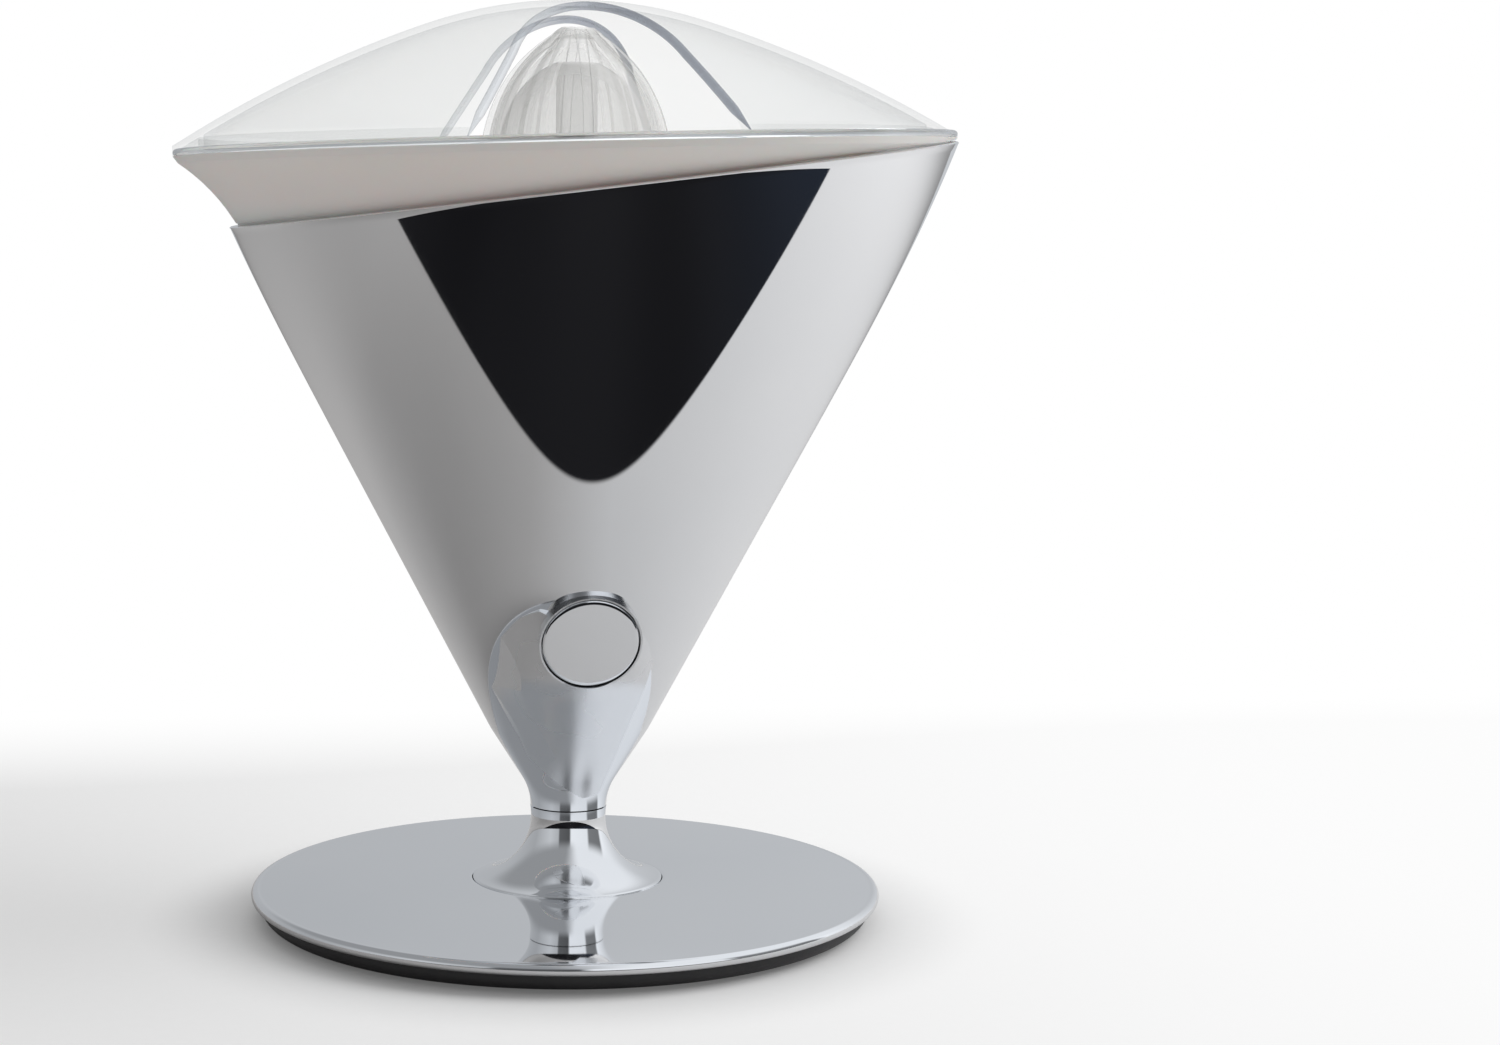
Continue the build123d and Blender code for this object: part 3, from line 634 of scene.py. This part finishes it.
def tube(name, path, radius, looped=False):
    count = len(path)
    rings = []
    for index, spot in enumerate(path):
        after = path[(index + 1) % count] if looped else path[min(index + 1, count - 1)]
        before = path[index - 1] if looped or index > 0 else path[0]
        along = (after - before).normalized()
        out = along.cross(Vector(lidEdge["nearlyUp"])).normalized()
        rings.append((spot, out, along.cross(out)))
    if not looped:
        rings = [rings[0]] + rings + [rings[-1]]

    def pointAt(row, angle):
        spot, out, over = rings[row]
        fromEnd = min(row, len(rings) - 1 - row)
        size = radius if looped else radius * min(1.0, fromEnd / lidEdge["taper"])
        return spot + out * (size * math.cos(angle)) + over * (size * math.sin(angle))

    return skin(name, len(rings), lidEdge["sides"], pointAt, looped)


def dressEdge(piece, finish):
    piece.data.materials.append(made[finish])
    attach(piece, "lid")


dressEdge(tube("frontNicheEdge", archPath(-1), lidEdge["bead"]), "arch_edge")
dressEdge(tube("rearNicheEdge", archPath(1), lidEdge["bead"]), "arch_edge")
dressEdge(tube("lidRimEdge", rimPath(), lidEdge["rimBead"], True), "rim_edge")
print("lid edges made")

mirrorCone = makeCone()
boreCone(mirrorCone)
dress(mirrorCone, "housing", "cone_shell", "chrome_plate")
dress(makePlate(), "housing", "base_plate", "chrome_plate")
dress(makeFoot(), "housing", "pedestal_foot", "chrome_plate")
dress(makeButton(), "power_button", "power_button", "chrome_plate")
skirt = makeSkirt()
skirt.data.materials.append(made["black_plastic"])
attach(skirt, "housing")
print("mirror pieces and skirt made")

# coil springs, copied from the parts onto their bodies with meshes of their own
coils = {
    "buttonCoil": {"node": "button_spring", "body": "housing", "joint": "button_press",
                   "axis": (0, -0.9367, -0.3502), "anchor": (0, -0.0404, 0.107), "keep": 0.84},
    "returnCoil": {"node": "press_return_spring", "body": "output_gear", "joint": "shaft_press",
                   "axis": (0, 0, 1), "anchor": (0, 0, 0.1517), "keep": 0.8},
}
for name, spec in coils.items():
    rest = nodes[spec["node"]]
    coil = bpy.data.objects.new(name, rest.data.copy())
    coil.matrix_world = rest.matrix_world.copy()
    bpy.context.collection.objects.link(coil)
    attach(coil, spec["body"])
    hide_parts(spec["node"])
    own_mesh(coil)
print("springs made:", len(coils))

# white stage that ends in front of the juicer, with a dark room beyond it for the mirror to show
# ranges hold from, to and, where given, the levels at both ends
table = {
    "halfWidth": 3.0, "frontEdge": -0.163, "edgeBlur": 0.0015,
    "white": 0.80, "weaveDepth": 0.012, "weave": (260, 2.0), "roughness": 0.9, "specular": 0.1,
    "glow": (-0.25, 0.35, 0.42, 0.85), "contact": (0.1, 0.15, 0.2, 1.0),
    "behind": (0.08, 0.4), "far": (0.5, 1.4),
    "slope": (-0.24, 0.2), "mirrorShadedSide": (0.54, 0.53, 0.525), "mirrorLitSide": (0.71, 0.71, 0.715),
    # a painted shadow on the floor, left of the juicer, that only reflections see
    "paintedShadow": {"at": (-0.17, -0.12, 0), "reach": (0.02, 0.2, 0.4, 0.0), "colour": (0.33, 0.32, 0.315)},
    "room": ((0.005, 0.005, 0.006), (0.017, 0.017, 0.019)), "roomGrain": (3.5, 1.0, (1, 0.1, 1)),
    "roomSide": (0.12, 0.55), "roomBlue": (0.018, 0.023, 0.034),
}
# room holds the level that the mirror shows at each bearing in degrees
sky = {
    "lighting": 0.37, "mirrorTint": (0.925, 0.957, 1.0),
    "high": (-0.2, 0.3, 0.32, 0.9), "roomTop": (0.3, 0.62),
    "room": ((-180, 0.5), (-110, 0.42), (-60, 0.62), (-36, 0.5), (-32, 0.13), (-3, 0.1), (2, 0.95), (50, 0.9),
             (56, 0.22), (92, 0.2), (98, 1.0), (140, 0.7), (180, 0.5)),
}


# reflections see the floor painted with shade: darker toward -X and lighter toward +X
def mirrorTone(tree, place, split):
    tone = tint(tree, ramped(tree, split["X"], *table["slope"]), table["mirrorShadedSide"], table["mirrorLitSide"])
    # a darker round patch blended in at the left front: a painted shadow
    paintedShadow = table["paintedShadow"]
    apart = vectorNode(tree, "DISTANCE", place)
    apart.inputs[1].default_value = paintedShadow["at"]
    return blended(tree, ramped(tree, apart.outputs["Value"], *paintedShadow["reach"]), tone, paintedShadow["colour"])


# the floor's glow for the camera is painted light: stronger toward +X, weaker near the base, full behind and
# far off
def glowLevel(tree, place, split):
    distance = vectorNode(tree, "LENGTH", place).outputs["Value"]
    around = ramped(tree, distance, *table["contact"])
    level = mathNode(tree, "MULTIPLY", around, ramped(tree, split["X"], *table["glow"]))
    behind = ramped(tree, split["Y"], *table["behind"])
    far = ramped(tree, distance, *table["far"])
    return mathNode(tree, "MAXIMUM", mathNode(tree, "MAXIMUM", level, behind), far)


def roomTone(tree, split):
    shade = tint(tree, grain(tree, *table["roomGrain"]), *table["room"])
    return blended(tree, ramped(tree, split["X"], *table["roomSide"]), shade, table["roomBlue"])


def seenDirectly(tree, ray):
    return mathNode(tree, "MAXIMUM", ray["Is Camera Ray"], ray["Is Transmission Ray"])


def makeFloor():
    half = table["halfWidth"]
    mesh = bpy.data.meshes.new("tableTop")
    corners = [(-half, -half, 0), (half, -half, 0), (half, half, 0), (-half, half, 0)]
    mesh.from_pydata(corners, [], [(0, 1, 2, 3)])
    floor = bpy.data.objects.new("tableTop", mesh)
    bpy.context.collection.objects.link(floor)
    finish, tree, shader = newFinish("tableCloth")
    place, split = position(tree)
    ray = tree.nodes.new("ShaderNodeLightPath").outputs
    low = table["white"] - table["weaveDepth"]
    cloth = tint(tree, grain(tree, *table["weave"]), (low,) * 3, (table["white"],) * 3)
    tone = blended(tree, ray["Is Glossy Ray"], cloth, mirrorTone(tree, place, split))
    tree.links.new(tone, shader.inputs["Base Color"])
    shader.inputs["Roughness"].default_value = table["roughness"]
    shader.inputs["Specular IOR Level"].default_value = table["specular"]
    glow = tree.nodes.new("ShaderNodeEmission")
    share = mathNode(tree, "MULTIPLY", seenDirectly(tree, ray), glowLevel(tree, place, split))
    lit = mixed(tree, share, shader.outputs[0], glow.outputs[0])
    edge = table["frontEdge"]
    blur = table["edgeBlur"]
    beyond = ramped(tree, split["Y"], edge - blur, edge + blur, 1.0, 0.0)
    room = tree.nodes.new("ShaderNodeEmission")
    tree.links.new(roomTone(tree, split), room.inputs["Color"])
    mirrored = mathNode(tree, "MULTIPLY", beyond, ray["Is Glossy Ray"])
    show(tree, mixed(tree, mirrored, lit, room.outputs[0]))
    mesh.materials.append(finish)


def roomRing(tree, split):
    ahead = mathNode(tree, "MULTIPLY", split["Y"], -1.0)
    bearing = mathNode(tree, "ARCTAN2", split["X"], ahead)
    ring = tree.nodes.new("ShaderNodeValToRGB")
    stops = ring.color_ramp.elements
    while len(stops) < len(sky["room"]):
        stops.new(0.5)
    for stop, (degrees, level) in zip(stops, sky["room"]):
        stop.position = (degrees + 180) / 360
        stop.color = (level, level, level, 1)
    turn = mathNode(tree, "ADD", mathNode(tree, "DIVIDE", bearing, 2 * math.pi), 0.5)
    tree.links.new(turn, ring.inputs["Fac"])
    return ring.outputs["Color"]


def makeWorld():
    world = bpy.data.worlds.new("studio")
    bpy.context.scene.world = world
    world.use_nodes = True
    tree = world.node_tree
    ray = tree.nodes.new("ShaderNodeLightPath").outputs
    plain = tree.nodes["Background"]
    plain.inputs["Color"].default_value = (1, 1, 1, 1)
    level = ramped(tree, seenDirectly(tree, ray), 0.0, 1.0, sky["lighting"], 1.0)
    tree.links.new(level, plain.inputs["Strength"])
    wall = tree.nodes.new("ShaderNodeBackground")
    wall.inputs["Color"].default_value = (*sky["mirrorTint"], 1)
    split = position(tree, "Generated")[1]
    strength = tree.nodes.new("ShaderNodeMix")
    tree.links.new(ramped(tree, split["Z"], *sky["roomTop"]), strength.inputs["Factor"])
    tree.links.new(roomRing(tree, split), strength.inputs["A"])
    tree.links.new(ramped(tree, split["X"], *sky["high"]), strength.inputs["B"])
    tree.links.new(strength.outputs["Result"], wall.inputs["Strength"])
    show(tree, mixed(tree, ray["Is Glossy Ray"], plain.outputs[0], wall.outputs[0]), "World Output")


lamps = {
    "window": {"at": (1.25, -0.1, 1.15), "aim": (0, 0, 0.1), "size": 1.3, "power": 19},
    "softTop": {"at": (-0.2, 0.9, 1.7), "aim": (0, 0, 0.1), "size": 2.0, "power": 8},
}


def makeLamps():
    for name, spec in lamps.items():
        data = bpy.data.lights.new(name, "AREA")
        data.size = spec["size"]
        data.energy = spec["power"]
        lamp = bpy.data.objects.new(name, data)
        bpy.context.collection.objects.link(lamp)
        lamp.visible_glossy = False
        lamp.location = spec["at"]
        lamp.rotation_euler = (Vector(spec["aim"]) - Vector(spec["at"])).to_track_quat("-Z", "Y").to_euler()


makeFloor()
makeWorld()
makeLamps()
bpy.context.scene.view_settings.view_transform = "Standard"
print("stage and light set")
